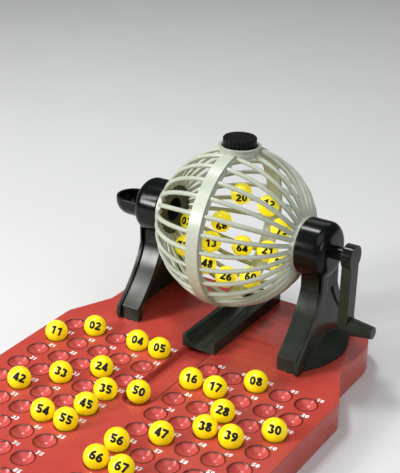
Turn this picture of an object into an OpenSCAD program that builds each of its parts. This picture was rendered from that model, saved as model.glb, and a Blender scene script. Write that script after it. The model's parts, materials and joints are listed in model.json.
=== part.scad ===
// Bingo cage on a numbered ball board: a hand-cranked wire-look sphere on two stands,
// with a filling gate, an outlet cup, a return chute and loose numbered balls.
// Millimetres. +X runs along the cage axle, +Y to the back, +Z up.
// The origin is on the table, under the middle of the whole part's box.

/* [Balls] */
// Diameter of a ball
ball_d = 17; // [15:0.5:18]
// Gap left under a ball that lies still
rest_gap = 0.05; // [0.02:0.01:0.2]
// Gap left round a ball that rolls
roll_gap = 0.3; // [0.3:0.1:0.6]

/* [Board] */
// Pitch of the pits along a row
pit_dx = 20; // [19:0.5:24]
// Pitch of the rows
pit_dy = 22; // [20:0.5:26]
// Pits in each row, half of them on either side of the channel
pit_cols = 10; // [6:2:10]
// Rows of pits
pit_rows = 9; // [9:1:10]
// Rim radius of a pit
pit_r = 7.6; // [7:0.1:8]
// How much rounder than the ball a pit is
pit_slack = 0.5; // [0.3:0.1:1]
// Width added between the two blocks of pits
channel_gap = 22.5; // [20:0.5:30]
// Width of the channel that the drawn ball rolls along
channel_w = 21; // [19:0.5:24]
// Where the channel stops, in front of the first row
channel_stop = 56; // [40:1:80]
// How far the channel runs on under the chute
channel_under = 12; // [8:1:20]
// From the outer pits to the side edges
side_margin = 17.75; // [14:0.25:24]
// From the last row to the front edge
front_margin = 17; // [14:1:30]
// From the stands' feet to the back edge
deck_back = 4.5; // [3:0.5:20]
// Height of the board
board_h = 22; // [18:1:30]
// Thickness of the top plate
plate_t = 3; // [2.5:0.25:4]
// Thickness of the side walls and of the cups under the pits
wall_t = 2; // [1.6:0.2:3]
// How far the sides step in at the shoulders
neck_in = 16.5; // [10:0.5:24]
// Where the shoulders start, behind the first row
shoulder_y = 15; // [10:1:20]
// Length of the shoulders
shoulder_l = 35; // [28:1:45]
// Radius of the shoulders' bends
shoulder_r = 14; // [8:1:18]
// Radius of the back corners
back_r = 34; // [20:1:40]
// Radius of the front corners
front_r = 18; // [10:1:24]

/* [Cage] */
// Radius of the ribs' centre line
cage_r = 59; // [56:0.5:62]
// Diameter of a rib
rib_d = 3.4; // [2.8:0.2:4]
// Ribs in each half
rib_n = 28; // [22:1:28]
// Radius of the circle on which the ribs meet the collars
rib_root_r = 17; // [16:0.25:18]
// How far the ribs run into the collars
rib_sink = 1; // [0.5:0.25:2]
// Distance of the axle behind the first row
axle_y = 71.5; // [68:0.5:76]
// How far the gate leans back at rest, in degrees
gate_lean = 3; // [0:1:20]
// Width of the band
band_w = 10; // [8:0.5:14]
// Thickness of the band
band_t = 2; // [1.6:0.1:3]
// Thickness of each half's edge under the band
edge_t = 2; // [1.6:0.1:2.4]
// How far each half's edge keeps outside the ribs' inner side
edge_step = 0.2; // [0.1:0.1:0.5]
// Overhang of each half's edge beyond the band
edge_lip = 1.2; // [1:0.1:2]
// Gap between the halves, and between glued pieces of the cage
glue_gap = 0.05; // [0.02:0.01:0.1]
// Radius of the collars at the hubs
collar_r = 20.6; // [19:0.2:22]
// Thickness of the collars
collar_t = 4; // [3:0.5:5]
// Radius of the journals that turn in the stands
journal_r = 12.5; // [12:0.25:14]
// Radial clearance of a journal or shaft that turns
run_gap = 0.06; // [0.02:0.01:0.1]
// Gap at the ends of what turns
end_gap = 0.5; // [0.3:0.1:1]
// Radial room for a ball in the outlet and in the gate
ball_room = 0.9; // [0.6:0.1:1.2]

/* [Gate] */
// Height of the gate ring, from the inside of the cage outwards
ring_h = 7; // [6:0.5:10]
// Wall of the gate ring
ring_wall = 2.4; // [2:0.2:3.5]
// How far the gate ring flares outwards
ring_flare = 1.4; // [0.6:0.2:2]
// Height of the ledge inside the ring that the cap sits on
ledge_h = 4; // [3:0.5:5]
// Width of that ledge
ledge_w = 2.6; // [2:0.2:3.5]
// Height of the cap above the ledge
cap_h = 9; // [7:0.5:9.5]
// How far the cap's top rim stands out
cap_rim = 0.8; // [0.4:0.1:1.2]
// Gap round the cap
cap_gap = 0.3; // [0.3:0.1:0.5]
// Grip notches round the cap's rim
notch_n = 24; // [12:1:28]
// Radius of a grip notch
notch_r = 0.7; // [0.4:0.1:0.9]
// Gap between the chute and the cap as it turns past
sweep_gap = 1.7; // [0.5:0.1:6]

/* [Stands] */
// Width of a stand along the axle
stand_w = 22; // [19:0.5:24]
// Radius of a stand's round head
head_r = 21; // [19:0.5:22]
// Rounding of the head's outer edge
head_round = 4; // [2:0.5:6]
// Half the length of a stand's foot
foot_half = 44; // [38:1:46]
// Height of the foot's toe
toe_h = 11; // [8:1:14]
// How far the toe bulges
toe_out = 2; // [1:0.5:4]
// Half the width of the neck under the head
neck_half = 12; // [10:0.5:14]
// Thickness of the legs
leg_t = 4.6; // [3.5:0.2:6]
// Thickness of the web on the outer side
web_t = 3; // [2:0.5:4]
// Depth of the panel sunk into the outer side
panel_depth = 1.4; // [0.6:0.2:1.6]
// Length of the neck below the head before the legs open
neck_l = 8; // [6:1:12]
// How far the outrigger stands out at the side
rigger_out = 10; // [6:1:12]
// Radius of the outrigger's round edge
rigger_r = 55; // [45:1:70]
// Height of the outrigger's edge
rigger_edge = 3; // [2:0.5:4]
// Height of the outrigger at the web
rigger_h = 14; // [10:1:18]
// Radius of the pegs that hold a stand in the board
peg_r = 2.2; // [1.8:0.1:2.6]
// Radial gap of the pegs
peg_gap = 0.05; // [0.03:0.01:0.1]

/* [Outlet cup] */
// Length of the cup
cup_l = 26; // [24:1:34]
// Wall of the cup
cup_wall = 1.8; // [1.4:0.2:2.4]
// Height of the cup's edge over the axle
cup_edge = 3; // [0:0.5:5]
// Room beside the ball in the cup
cup_room = 1.9; // [1.2:0.1:3]

/* [Chute] */
// Width of the chute
chute_w = 28; // [25:1:36]
// Where its front edge lies, behind the first row
chute_y = 20; // [17:1:24]
// From its back edge to the board's back edge
chute_back = 3; // [2:1:10]
// Height of the chute's sides
chute_h = 9.5; // [8:0.5:10]
// Thickness of the sides at the front
chute_wall = 2.4; // [1.8:0.2:3]
// Height of the trough's bottom at the front
trough_front = 1.2; // [0.8:0.2:2]
// Height of the trough's bottom at the back
trough_back = 7; // [5:0.5:7.5]

/* [Crank] */
// Radius of the crank's shaft
shaft_r = 5; // [4:0.25:6]
// Gap between the right head and the crank's arm
arm_gap = 9; // [6:0.5:12]
// Thickness of the arm
arm_t = 7.5; // [6:0.5:9]
// Width of the arm
arm_w = 12; // [10:0.5:14]
// Radius of the arm's head
arm_head_r = 9; // [7.5:0.25:10]
// Distance from the shaft to the grip
crank_throw = 54; // [46:1:56]
// Radius of the grip's pin
pin_r = 2.5; // [2:0.1:3]
// Length of the grip
grip_l = 18; // [16:1:26]
// Radius of the grip at the arm
grip_r1 = 6.7; // [6:0.1:8]
// Radius of the grip at its end
grip_r2 = 4.6; // [4.4:0.1:5.5]

/* [Hidden] */
$fn = 72;
over = 1;
ball_r = ball_d / 2;

// Numbers of the balls that lie in the pits, of the drawn ball, and of the balls in the cage.
// A ball in the cage is given by its number and by where it lies on the wall, in degrees:
// the lean from the middle towards +X, and the turn about the axle from the bottom to the back.
board_balls = [2, 4, 5, 8, 11, 16, 17, 24, 28, 30, 33, 35, 38, 39, 42, 45, 47, 54, 55, 56, 66, 67];
drawn_ball = 50;
cage_balls = [
    [20, -26, 97], [12, 0, 88], [75, 18, 70], [68, -42, 62], [13, -44, 32], [64, -16, 44], [21, 10, 46],
    [26, -12, 4], [48, -35, 2], [60, 8, 14], [71, -58, -14], [3, -72, 40], [81, 32, 34]
];

function two_digits(n) = n < 10 ? str("0", n) : str(n);
function ball_node(n) = str("ball_", two_digits(n));

// Radii of the cage's shell, from the inside out
inner_r = cage_r - rib_d / 2;
edge_r = inner_r + edge_step;
band_r = edge_r + edge_t + glue_gap + band_t;

// Board, in plan. The part's length runs from the board's front to the back of the board or the cage.
deck_l = axle_y + foot_half + toe_out + deck_back;
half_w = (pit_cols - 1) / 2 * pit_dx + channel_gap / 2 + side_margin;
pits_l = front_margin + (pit_rows - 1) * pit_dy;
board_l = pits_l + deck_l;
front_y = -(pits_l + max(deck_l, axle_y + band_r)) / 2;
row_y = front_y + pits_l;
back_y = row_y + deck_l;
channel_end_y = row_y - channel_stop;

// Pits: spheres a little larger than the ball, centred above the board
pit_ball_r = ball_r + pit_slack;
pit_depth = pit_ball_r - sqrt(pit_ball_r * pit_ball_r - pit_r * pit_r);
pit_centre_z = board_h - pit_depth + pit_ball_r;
channel_z = board_h - pit_depth;

// Gate, as heights along its own axis from the middle of the cage
gate_r = ball_r + ball_room;
ring_r = gate_r + ledge_w + ring_wall;
ring_z = sqrt(inner_r * inner_r - gate_r * gate_r);
ledge_z = ring_z + ledge_h;
ring_top = ring_z + ring_h;
cap_r = gate_r + ledge_w - cap_gap;
cap_top = ledge_z + cap_gap + cap_h;

// Cage: the axle is high enough for the cap to turn past the chute
axle_h = chute_h + sweep_gap + max(norm([cap_r, cap_top]), norm([cap_r + cap_rim, cap_top - cap_rim]));
centre_y = row_y + axle_y;
centre_z = board_h + axle_h;
heap_r = inner_r - ball_r - roll_gap;
edge_x = band_w / 2 + edge_lip;
rib_pole = asin(rib_root_r / cage_r);
rib_equator = acos((band_w / 2 + glue_gap) / cage_r);
collar_x = cage_r * cos(rib_pole) - rib_sink;
stand_x = collar_x + collar_t + end_gap;
journal_l = stand_w - web_t - 2 * end_gap;
outlet_r = ball_r + ball_room;

// Chute
chute_front_y = row_y + chute_y;
chute_l = deck_l - chute_y - chute_back;
trough_r = chute_w / 2 - chute_wall;
trough_tilt = atan((trough_back - trough_front) / chute_l);

// Crank
arm_x = stand_x + stand_w + arm_gap;
grip_x = arm_x + arm_t + end_gap;

// Corner of a rounded outline: where the round starts and ends, and the round's centre
function unit(v) = v / norm(v);
function corner_angle(p, a, b) = acos(unit(a - p) * unit(b - p));
function corner_cut(p, a, b, r) =
    let (t = r / tan(corner_angle(p, a, b) / 2))
    [p + unit(a - p) * t, p + unit(b - p) * t];
function corner_centre(p, a, b, r) =
    p + unit(unit(a - p) + unit(b - p)) * r / sin(corner_angle(p, a, b) / 2);

// Outline whose corners are rounded: each corner is [point, radius, is hollow]
module rounded_outline(corners) {
    n = len(corners);
    points = [for (c = corners) c[0]];
    difference() {
        union() {
            polygon([
                for (i = [0 : n - 1])
                each corner_cut(points[i], points[(i + n - 1) % n], points[(i + 1) % n], corners[i][1])
            ]);
            for (i = [0 : n - 1])
                if (!corners[i][2])
                    translate(corner_centre(points[i], points[(i + n - 1) % n], points[(i + 1) % n], corners[i][1]))
                        circle(corners[i][1]);
        }
        for (i = [0 : n - 1])
            if (corners[i][2])
                translate(corner_centre(points[i], points[(i + n - 1) % n], points[(i + 1) % n], corners[i][1]))
                    circle(corners[i][1]);
    }
}

// The board's outline, moved in by inset on all sides
module board_outline(inset) {
    w = half_w - inset;
    neck = half_w - neck_in - inset;
    slant = norm([neck_in, shoulder_l]);
    y1 = row_y + shoulder_y + inset * (shoulder_l - slant) / neck_in;
    y2 = y1 + shoulder_l;
    front = front_y + inset;
    back = back_y - inset;
    rounded_outline([
        [[w, front], front_r - inset, false],
        [[w, y1], shoulder_r - inset, false],
        [[neck, y2], shoulder_r + inset, true],
        [[neck, back], back_r - inset, false],
        [[-neck, back], back_r - inset, false],
        [[-neck, y2], shoulder_r + inset, true],
        [[-w, y1], shoulder_r - inset, false],
        [[-w, front], front_r - inset, false]
    ]);
}

// Centre of the pit that belongs to number n, in plan
function pit_x(n) =
    let (col = (n - 1) % pit_cols, side = col < pit_cols / 2 ? -1 : 1)
    (col - (pit_cols - 1) / 2) * pit_dx + side * channel_gap / 2;
function pit_y(n) = row_y - floor((n - 1) / pit_cols) * pit_dy;

// Spheres of one radius at all pits
module pit_spheres(r) {
    for (n = [1 : pit_cols * pit_rows])
        translate([pit_x(n), pit_y(n), pit_centre_z])
            sphere(r);
}

// The channel's shape with a round front end, widened by extra on all sides
module channel_shape(extra, z, h) {
    r = channel_w / 2 + extra;
    l = chute_front_y + channel_under - channel_end_y;
    translate([0, channel_end_y, z]) {
        cylinder(r = r, h = h);
        translate([-r, 0, 0])
            cube([2 * r, l + extra, h]);
    }
}

module peg_places() {
    for (side = [-1, 1], y = [-1, 1])
        translate([side * (stand_x + stand_w / 2), centre_y + y * (foot_half - leg_t / 2 - toe_out / 2), 0])
            children();
}

module board() {
    color("crimson")
    difference() {
        union() {
            difference() {
                linear_extrude(board_h) board_outline(0);
                translate([0, 0, -over])
                    linear_extrude(board_h - plate_t + over) board_outline(wall_t);
            }
            intersection() {
                pit_spheres(pit_ball_r + wall_t);
                translate([-half_w, front_y, 0])
                    cube([2 * half_w, board_l, board_h - plate_t / 2]);
            }
            channel_shape(wall_t, channel_z - wall_t, board_h - plate_t / 2 - channel_z + wall_t);
        }
        pit_spheres(pit_ball_r);
        channel_shape(0, channel_z, pit_depth + over);
        peg_places()
            cylinder(r = peg_r + peg_gap, h = board_h + over);
    }
}

// Block with a round trough that runs down to the front and opens there
module chute() {
    color("black")
    translate([0, chute_front_y, board_h])
    difference() {
        translate([-chute_w / 2, 0, 0])
            cube([chute_w, chute_l, chute_h]);
        translate([0, 0, trough_front + trough_r])
            rotate([trough_tilt - 90, 0, 0])
                translate([0, 0, -trough_r])
                    cylinder(r = trough_r, h = chute_l + 2 * trough_r);
    }
}

// Side view of a stand below its head, moved in by inset
module stand_profile(inset) {
    top = axle_h - head_r - neck_l;
    slope = norm([foot_half - neck_half, top - toe_h]) / (top - toe_h);
    foot = foot_half - inset * slope;
    neck = neck_half - inset * slope;
    toe = toe_out * (inset > 0 ? 0 : 1);
    polygon([
        [-foot, 0], [-foot - toe, toe_h / 2], [-foot, toe_h], [-neck, top], [-neck, axle_h - inset],
        [neck, axle_h - inset], [neck, top], [foot, toe_h], [foot + toe, toe_h / 2], [foot, 0]
    ]);
}

// Turns a side view into a slab of width w along +X
module across(w) {
    rotate([90, 0, 90])
        linear_extrude(w)
            children();
}

// Round head of a stand along +X, with its outer edge rounded
module stand_head() {
    translate([0, 0, axle_h])
        rotate([0, 90, 0])
            rotate_extrude() {
                square([head_r, stand_w - head_round]);
                square([head_r - head_round, stand_w]);
                translate([head_r - head_round, stand_w - head_round])
                    intersection() {
                        circle(head_round);
                        square(head_round);
                    }
            }
}

// Low round-edged foot on the outer side of a stand
module outrigger() {
    translate([stand_w + rigger_out - rigger_r, 0, 0])
        intersection() {
            union() {
                cylinder(r = rigger_r, h = rigger_edge);
                translate([0, 0, rigger_edge])
                    cylinder(r1 = rigger_r - over, r2 = rigger_r - rigger_out, h = rigger_h - rigger_edge);
            }
            translate([rigger_r - rigger_out - web_t / 2, -rigger_r, 0])
                cube([rigger_r, 2 * rigger_r, rigger_h]);
        }
}

// A stand seen from the cage: its inner side is open, and its web is on the outer side
module stand(passage_r) {
    difference() {
        union() {
            across(stand_w) stand_profile(0);
            stand_head();
            outrigger();
        }
        difference() {
            translate([-over, 0, -over])
                across(stand_w - web_t + over)
                    stand_profile(leg_t);
            stand_head();
        }
        translate([stand_w - panel_depth, 0, 0])
            intersection() {
                across(panel_depth + over) stand_profile(leg_t);
                translate([0, -foot_half, rigger_h])
                    cube([stand_w, 2 * foot_half, axle_h - head_r - neck_l - rigger_h]);
            }
        translate([-over, 0, axle_h])
            rotate([0, 90, 0]) {
                cylinder(r = journal_r + run_gap, h = stand_w - web_t + over);
                cylinder(r = passage_r, h = stand_w + 2 * over);
            }
    }
    for (y = [-1, 1])
        translate([stand_w / 2, y * (foot_half - leg_t / 2 - toe_out / 2), -plate_t])
            cylinder(r = peg_r, h = plate_t + toe_h / 2);
}

module stand_left() {
    color("black")
        mirror([1, 0, 0])
            translate([stand_x, centre_y, board_h])
                stand(outlet_r);
}

module stand_right() {
    color("black")
        translate([stand_x, centre_y, board_h])
            stand(shaft_r + run_gap);
}

// Round-ended body along +X, of length l and radius r
module cup_body(r, l) {
    rotate([0, 90, 0])
        cylinder(r = r, h = l - r);
    translate([l - r, 0, 0])
        sphere(r);
}

// Boat-shaped cup on the left head, open along its top and towards the outlet
module outlet_cup() {
    r = outlet_r + cup_room + cup_wall;
    color("black")
    translate([-stand_x - stand_w, centre_y, centre_z])
    mirror([1, 0, 0])
    difference() {
        cup_body(r, cup_l);
        translate([-over, 0, 0])
            cup_body(r - cup_wall, cup_l - cup_wall + over);
        translate([-over - r, -2 * r, cup_edge])
            cube([cup_l + 2 * (over + r), 4 * r, 2 * r]);
        translate([-2 * r, -2 * r, -2 * r])
            cube([2 * r, 4 * r, 4 * r]);
    }
}

// Puts a piece of the cage where it is at rest, from its own frame at the cage's middle
module place_cage() {
    translate([0, centre_y, centre_z])
        rotate([-gate_lean, 0, 0])
            children();
}

// Ring about +X from x1 to x2 between two radii
module ring_x(x1, x2, r1, r2) {
    translate([x1, 0, 0])
        rotate([0, 90, 0])
            difference() {
                cylinder(r = r2, h = x2 - x1);
                translate([0, 0, -over])
                    cylinder(r = r1, h = x2 - x1 + 2 * over);
            }
}

// The space that the gate ring takes out of the band and the ribs
module gate_space() {
    translate([0, 0, cage_r / 2])
        cylinder(r = ring_r + glue_gap, h = cage_r);
}

// Half of the cage on the +X side: meridian ribs from an edge ring to a collar with its journal
module cage_half(bore_r) {
    difference() {
        union() {
            for (i = [0 : rib_n - 1])
                rotate([i * 360 / rib_n, 0, 0])
                    rotate([0, 0, rib_pole])
                        rotate_extrude(angle = rib_equator - rib_pole)
                            translate([cage_r, 0])
                                circle(d = rib_d, $fn = 24);
            ring_x(glue_gap / 2, edge_x, edge_r, edge_r + edge_t);
        }
        gate_space();
    }
    ring_x(collar_x, collar_x + collar_t, bore_r, collar_r);
    ring_x(collar_x + collar_t, collar_x + collar_t + journal_l, bore_r, journal_r);
}

module cage_left() {
    color("gainsboro")
        place_cage()
            mirror([1, 0, 0])
                cage_half(outlet_r);
}

module cage_right() {
    color("gainsboro")
        place_cage()
            cage_half(shaft_r + glue_gap);
}

module band() {
    color("gainsboro")
        place_cage()
            difference() {
                ring_x(-band_w / 2, band_w / 2, band_r - band_t, band_r);
                gate_space();
            }
}

// Flared ring with a ledge inside, on which the cap sits
module gate_ring() {
    color("gainsboro")
        place_cage()
            rotate_extrude()
                polygon([
                    [gate_r, ring_z], [ring_r, ring_z], [ring_r, ring_top - 2 * ring_flare],
                    [ring_r + ring_flare, ring_top], [ring_r + ring_flare - ring_wall, ring_top],
                    [gate_r + ledge_w, ledge_z], [gate_r, ledge_z]
                ]);
}

// Cap with a plug that closes the gate and a notched rim to hold it by
module gate_cap() {
    rim_r = cap_r + cap_rim;
    rim_z = ring_top + cap_gap;
    plug_r = gate_r - cap_gap;
    plug_z = inner_r + cap_gap;
    color("black")
        place_cage()
            difference() {
                rotate_extrude()
                    polygon([
                        [0, plug_z], [plug_r, plug_z], [plug_r, ledge_z + cap_gap], [cap_r, ledge_z + cap_gap],
                        [cap_r, rim_z], [rim_r, rim_z], [rim_r, cap_top - cap_rim], [cap_r, cap_top], [0, cap_top]
                    ]);
                for (i = [0 : notch_n - 1])
                    rotate([0, 0, i * 360 / notch_n])
                        translate([rim_r, 0, rim_z - over])
                            cylinder(r = notch_r, h = cap_top - rim_z + 2 * over);
            }
}

// Arm with a round head on its shaft, and a pin for the grip. It hangs opposite the gate.
module crank_arm() {
    shaft_from = collar_x + collar_t / 2;
    color("black")
        place_cage()
            rotate([0, 90, 0]) {
                translate([0, 0, shaft_from])
                    cylinder(r = shaft_r, h = arm_x + arm_t / 2 - shaft_from);
                translate([0, 0, arm_x]) {
                    cylinder(r = arm_head_r, h = arm_t);
                    translate([0, -arm_w / 2, 0])
                        cube([crank_throw, arm_w, arm_t]);
                    translate([crank_throw, 0, 0]) {
                        cylinder(d = arm_w, h = arm_t);
                        cylinder(r = pin_r, h = arm_t + end_gap + grip_l - grip_r2);
                    }
                }
            }
}

// Tapered grip that turns on the pin
module crank_grip() {
    color("black")
        place_cage()
            translate([grip_x, 0, -crank_throw])
                rotate([0, 90, 0])
                    difference() {
                        cylinder(r1 = grip_r1, r2 = grip_r2, h = grip_l);
                        translate([0, 0, -over])
                            cylinder(r = pin_r + run_gap, h = grip_l - grip_r2 + end_gap + over);
                    }
}

module board_ball(n) {
    color("gold")
        translate([pit_x(n), pit_y(n), channel_z + ball_r + rest_gap])
            sphere(ball_r);
}

module channel_ball() {
    color("gold")
        translate([0, channel_end_y, channel_z + ball_r + roll_gap])
            sphere(ball_r);
}

module cage_ball(lean, turn) {
    color("gold")
        translate([0, centre_y, centre_z])
            translate(heap_r * [sin(lean), cos(lean) * sin(turn), -cos(lean) * cos(turn)])
                sphere(ball_r);
}

board();
chute();
stand_left();
stand_right();
outlet_cup();
cage_left();
cage_right();
band();
gate_ring();
gate_cap();
crank_arm();
crank_grip();
for (n = board_balls)
    board_ball(n);
channel_ball();
for (b = cage_balls)
    cage_ball(b[1], b[2]);
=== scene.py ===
"""Studio scene for the bingo cage: finishes, printed numbers, the stands' mouldings, floor, light and camera.

Everything lies in the CAD frame, in metres: +X along the cage axle towards the crank, +Y from the board's
front edge to the cage, +Z up, with the origin on the table. Sizes that a maker would read are written in
millimetres and multiplied by MM.
"""

from __future__ import annotations

import json
import logging
import math
from dataclasses import dataclass, field, replace
from enum import Enum
from typing import Callable, Iterable, Sequence

import bpy
import numpy as np
from bpy.types import ID, Material, Node, NodeSocket, Object
from mathutils import Matrix, Vector


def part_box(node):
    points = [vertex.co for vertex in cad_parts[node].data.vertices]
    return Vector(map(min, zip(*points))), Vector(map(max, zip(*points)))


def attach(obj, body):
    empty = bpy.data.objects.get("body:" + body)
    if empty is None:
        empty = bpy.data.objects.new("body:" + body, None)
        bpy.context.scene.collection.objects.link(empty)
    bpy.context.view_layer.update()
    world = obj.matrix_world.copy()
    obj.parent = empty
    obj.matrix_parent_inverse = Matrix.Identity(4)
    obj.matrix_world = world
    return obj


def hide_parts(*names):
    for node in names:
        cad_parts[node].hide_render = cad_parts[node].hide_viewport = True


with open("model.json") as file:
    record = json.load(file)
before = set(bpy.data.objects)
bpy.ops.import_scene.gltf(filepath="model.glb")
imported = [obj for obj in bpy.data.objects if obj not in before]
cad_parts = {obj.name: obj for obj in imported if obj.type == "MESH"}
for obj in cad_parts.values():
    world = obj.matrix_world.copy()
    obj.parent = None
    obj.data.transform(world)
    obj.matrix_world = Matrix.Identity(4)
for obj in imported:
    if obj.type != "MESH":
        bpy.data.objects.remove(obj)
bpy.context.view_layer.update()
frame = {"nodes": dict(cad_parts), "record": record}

LOG = logging.getLogger("bingo_cage")
MM = 0.001
WHOLE = (0.0, 1.0)  # range of a mask
NOISE_SPAN = (0.3, 0.7)  # range in which most of a noise lies

Array = np.ndarray
Pair = tuple[float, float]
Triple = tuple[float, float, float]
Colour = Triple
Marks = list[tuple[NodeSocket, Colour]]
Mapping = Callable[[Array, Array, Array], Array]


class Body(Enum):
    """CAD bodies that new pieces ride on."""

    BASE = "base"
    DRAWN_BALL = "drawn_ball"


class Slot(Enum):
    """Material slots of the record; no new piece here takes one."""

    BLACK = "black"


class NodeSheet:
    """Node tree of one material, with short calls for the nodes that the finishes share."""

    MIX_INPUTS = (0, 6, 7)  # factor and colours of a mix node that is set to colours
    MIX_OUTPUT = 2
    BEVEL_SAMPLES = 6

    def __init__(self, name: str) -> None:
        """Starts a material with an empty principled shader.

        Args:
            name: Name of the material.
        """
        self.material = bpy.data.materials.new(name)
        self.material.use_nodes = True
        self._tree = self.material.node_tree
        self._tree.nodes.clear()
        self._shader = self.node("ShaderNodeBsdfPrincipled")
        self.node("ShaderNodeOutputMaterial", {"Surface": self._shader.outputs["BSDF"]})
        self._place = self.node("ShaderNodeTexCoord").outputs["Object"]

    def feed(self, socket: NodeSocket, value: object) -> None:
        """Links a socket to another one, or sets it to a constant.

        Args:
            socket: Input socket.
            value: Output socket, number or three numbers; None leaves the socket as it is.
        """
        if isinstance(value, NodeSocket):
            self._tree.links.new(value, socket)
        elif value is not None:
            socket.default_value = (*value, 1.0) if socket.type == "RGBA" else value

    def node(self, kind: str, sockets: dict[str | int, object] | None = None, **settings: object) -> Node:
        """Adds a node.

        Args:
            kind: Blender's name of the node type.
            sockets: What goes into its inputs, by their names or numbers.
            settings: Properties of the node.

        Returns:
            The new node.
        """
        made = self._tree.nodes.new(kind)
        for key, value in settings.items():
            setattr(made, key, value)
        for key, value in (sockets or {}).items():
            self.feed(made.inputs[key], value)
        return made

    def shade(self, sockets: dict[str, object]) -> None:
        """Feeds inputs of the material's shader, by their names."""
        for key, value in sockets.items():
            self.feed(self._shader.inputs[key], value)

    def noise(self, size: float, detail: float, stretch: Triple = (1, 1, 1)) -> NodeSocket:
        """Noise over the object's own coordinates.

        Args:
            size: Width of a blotch, in millimetres.
            detail: Number of finer layers.
            stretch: Factors on the three axes, to draw the noise out.

        Returns:
            A value from 0 to 1.
        """
        turned = self.node("ShaderNodeMapping", {"Vector": self._place, "Scale": stretch})
        sockets = {"Vector": turned.outputs["Vector"], "Scale": 1 / (size * MM), "Detail": detail}
        return self.node("ShaderNodeTexNoise", sockets).outputs["Fac"]

    def spread(self, value: NodeSocket, old: Pair, new: Pair) -> NodeSocket:
        """Maps a value from an old range, given by its two ends, to a new one, and clamps it."""
        ends = zip(("From Min", "From Max", "To Min", "To Max"), (*old, *new))
        return self.node("ShaderNodeMapRange", {"Value": value, **dict(ends)}).outputs["Result"]

    def blend(self, factor: NodeSocket, first: object, second: object) -> NodeSocket:
        """Mixes two colours; the factor is the share of the second one."""
        sockets = dict(zip(self.MIX_INPUTS, (factor, first, second)))
        return self.node("ShaderNodeMix", sockets, data_type="RGBA").outputs[self.MIX_OUTPUT]

    def calc(self, operation: str, first: object, second: object = 0.0) -> NodeSocket:
        """One step of arithmetic, by Blender's name of the operation, on one or two values."""
        return self.node("ShaderNodeMath", {0: first, 1: second}, operation=operation).outputs[0]

    def length(self, u: NodeSocket, v: NodeSocket) -> NodeSocket:
        """Root of the sum of two squares."""
        return self.calc("SQRT", self.calc("ADD", self.calc("MULTIPLY", u, u), self.calc("MULTIPLY", v, v)))

    def place(self, axis: str) -> NodeSocket:
        """The object's own coordinate along X, Y or Z, in metres."""
        return self.node("ShaderNodeSeparateXYZ", {"Vector": self._place}).outputs[axis]

    def rounded(self, radius: float) -> NodeSocket:
        """Normals that round off the mesh's edges, by a radius in millimetres."""
        return self.node("ShaderNodeBevel", {"Radius": radius * MM}, samples=self.BEVEL_SAMPLES).outputs["Normal"]

    def edges(self, radius: float, gain: float) -> NodeSocket:
        """Mask of the edges: how far the rounded normal turns from the true one.

        Args:
            radius: How far from an edge the mask reaches, in millimetres.
            gain: How much of the turn already counts as a full edge, as a share of a right angle.

        Returns:
            A value that is 1 on edges and 0 on flat faces.
        """
        true = self.node("ShaderNodeNewGeometry").outputs["True Normal"]
        dot = self.node("ShaderNodeVectorMath", {0: self.rounded(radius), 1: true}, operation="DOT_PRODUCT")
        return self.spread(dot.outputs["Value"], (1.0, 1.0 - gain), WHOLE)

    def bumped(self, height: NodeSocket, depth: float, normal: NodeSocket | None = None) -> NodeSocket:
        """Bumps a normal, or else the mesh's own, by a height from 0 to 1 times a depth in millimetres."""
        sockets = {"Height": height, "Distance": depth * MM, "Normal": normal}
        return self.node("ShaderNodeBump", sockets).outputs["Normal"]


@dataclass(frozen=True)
class PitGrid:
    """Rows of pits, in two blocks on either side of the channel, in millimetres.

    Attributes:
        pitch: Distance between pits along and across a row.
        columns: Pits in a row.
        rows: Rows of pits.
        middle_gap: Width added between the two blocks.
        rim: Radius of a pit's rim.
    """

    pitch: Pair = (20.0, 22.0)
    columns: int = 10
    rows: int = 9
    middle_gap: float = 22.5
    rim: float = 7.6

    def place(self, number: int) -> Array:
        """Middle of a pit, from the middle of the first row.

        The columns count from the left, the rows from the first one in front of the cage.

        Args:
            number: The pit's number.

        Returns:
            A place on the board's top, in metres.
        """
        column, row = (number - 1) % self.columns, (number - 1) // self.columns
        side = -1 if column < self.columns / 2 else 1
        x = (column - (self.columns - 1) / 2) * self.pitch[0] + side * self.middle_gap / 2
        return np.array([x, -row * self.pitch[1], 0.0]) * MM


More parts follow.
